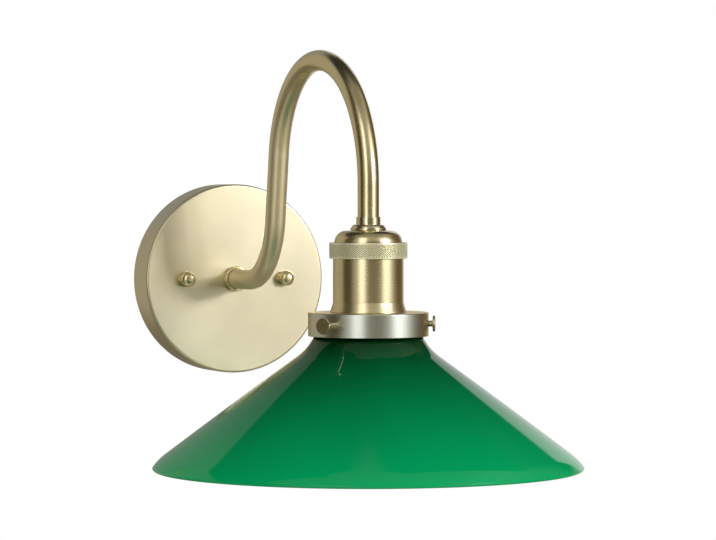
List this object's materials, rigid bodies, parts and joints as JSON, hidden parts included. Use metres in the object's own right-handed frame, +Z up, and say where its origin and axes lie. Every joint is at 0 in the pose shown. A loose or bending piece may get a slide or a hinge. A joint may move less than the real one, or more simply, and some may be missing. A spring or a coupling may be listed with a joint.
{
  "type": "gooseneck wall sconce",
  "caption": "Wall light with a round canopy, a bent gooseneck tube arm, a downward lamp socket with a knurled ring, a shade holder with thumb screws and a wide cone glass shade.",
  "frame": {"origin": "centre of the mounting plate's back face, on the wall", "axes": "+Z up; +X right when facing the light; the wall is the plane Y = 0 and the light stands out along -Y"},
  "size_m": [0.254, 0.3648, 0.2493],
  "materials": {
    "satin_brass": "satin, fine brushed",
    "pale_brass": "satin, diamond knurled",
    "holder_brass": "satin, brushed around",
    "plated_steel": "zinc plated",
    "contact_brass": "bright pressed",
    "green_paint": "green dyed",
    "porcelain": "glazed white",
    "black_insulation": "extruded",
    "white_insulation": "extruded",
    "green_insulation": "extruded",
    "green_glass": "cased, glossy green outside and opal white inside"
  },
  "bodies": {
    "fixture": {"canopy": "satin_brass", "arm_collar": "satin_brass", "arm_tube": "satin_brass", "socket_coupling": "satin_brass", "socket_cap": "satin_brass", "socket_shell": "satin_brass", "shade_holder": "holder_brass", "mounting_plate": "plated_steel", "canopy_studs": "plated_steel", "arm_nipple": "plated_steel", "canopy_washer": "plated_steel", "canopy_lock_nut": "plated_steel", "socket_nipple": "plated_steel", "socket_lock_nut": "plated_steel", "socket_strap": "plated_steel", "strap_screws": "plated_steel", "holder_ring": "plated_steel", "neutral_terminal_screw": "plated_steel", "screw_shell": "contact_brass", "centre_contact": "contact_brass", "hot_terminal_screw": "contact_brass", "ground_screw": "green_paint", "socket_insulator": "porcelain", "line_wire": "black_insulation", "neutral_wire": "white_insulation", "ground_wire": "green_insulation", "glass_shade": "green_glass"},
    "knurled_ring": {"knurled_ring": "pale_brass"},
    "cap_nut_left": {"cap_nut_left": "satin_brass"},
    "cap_nut_right": {"cap_nut_right": "satin_brass"},
    "thumb_screw_left": {"thumb_screw_left": "satin_brass"},
    "thumb_screw_right": {"thumb_screw_right": "satin_brass"},
    "thumb_screw_rear": {"thumb_screw_rear": "satin_brass"}
  },
  "joints": [
    {"name": "knurled_ring_turn", "type": "hinge", "parent": "fixture", "child": "knurled_ring", "pos_m": [0, -0.23786, 0.0221], "axis": [0, 0, 1], "range_deg": [0, 1080]},
    {"name": "cap_nut_left_off", "type": "slide", "parent": "fixture", "child": "cap_nut_left", "axis": [0, -1, 0], "range_m": [0, 0.008]},
    {"name": "cap_nut_right_off", "type": "slide", "parent": "fixture", "child": "cap_nut_right", "axis": [0, -1, 0], "range_m": [0, 0.008]},
    {"name": "thumb_screw_left_travel", "type": "slide", "parent": "fixture", "child": "thumb_screw_left", "axis": [-0.8434, -0.5373, 0], "range_m": [-0.008, 0.001]},
    {"name": "thumb_screw_right_travel", "type": "slide", "parent": "fixture", "child": "thumb_screw_right", "axis": [0.887, -0.4617, 0], "range_m": [0, 0.009]},
    {"name": "thumb_screw_rear_travel", "type": "slide", "parent": "fixture", "child": "thumb_screw_rear", "axis": [-0.0436, 0.999, 0], "range_m": [0, 0.009]}
  ]
}
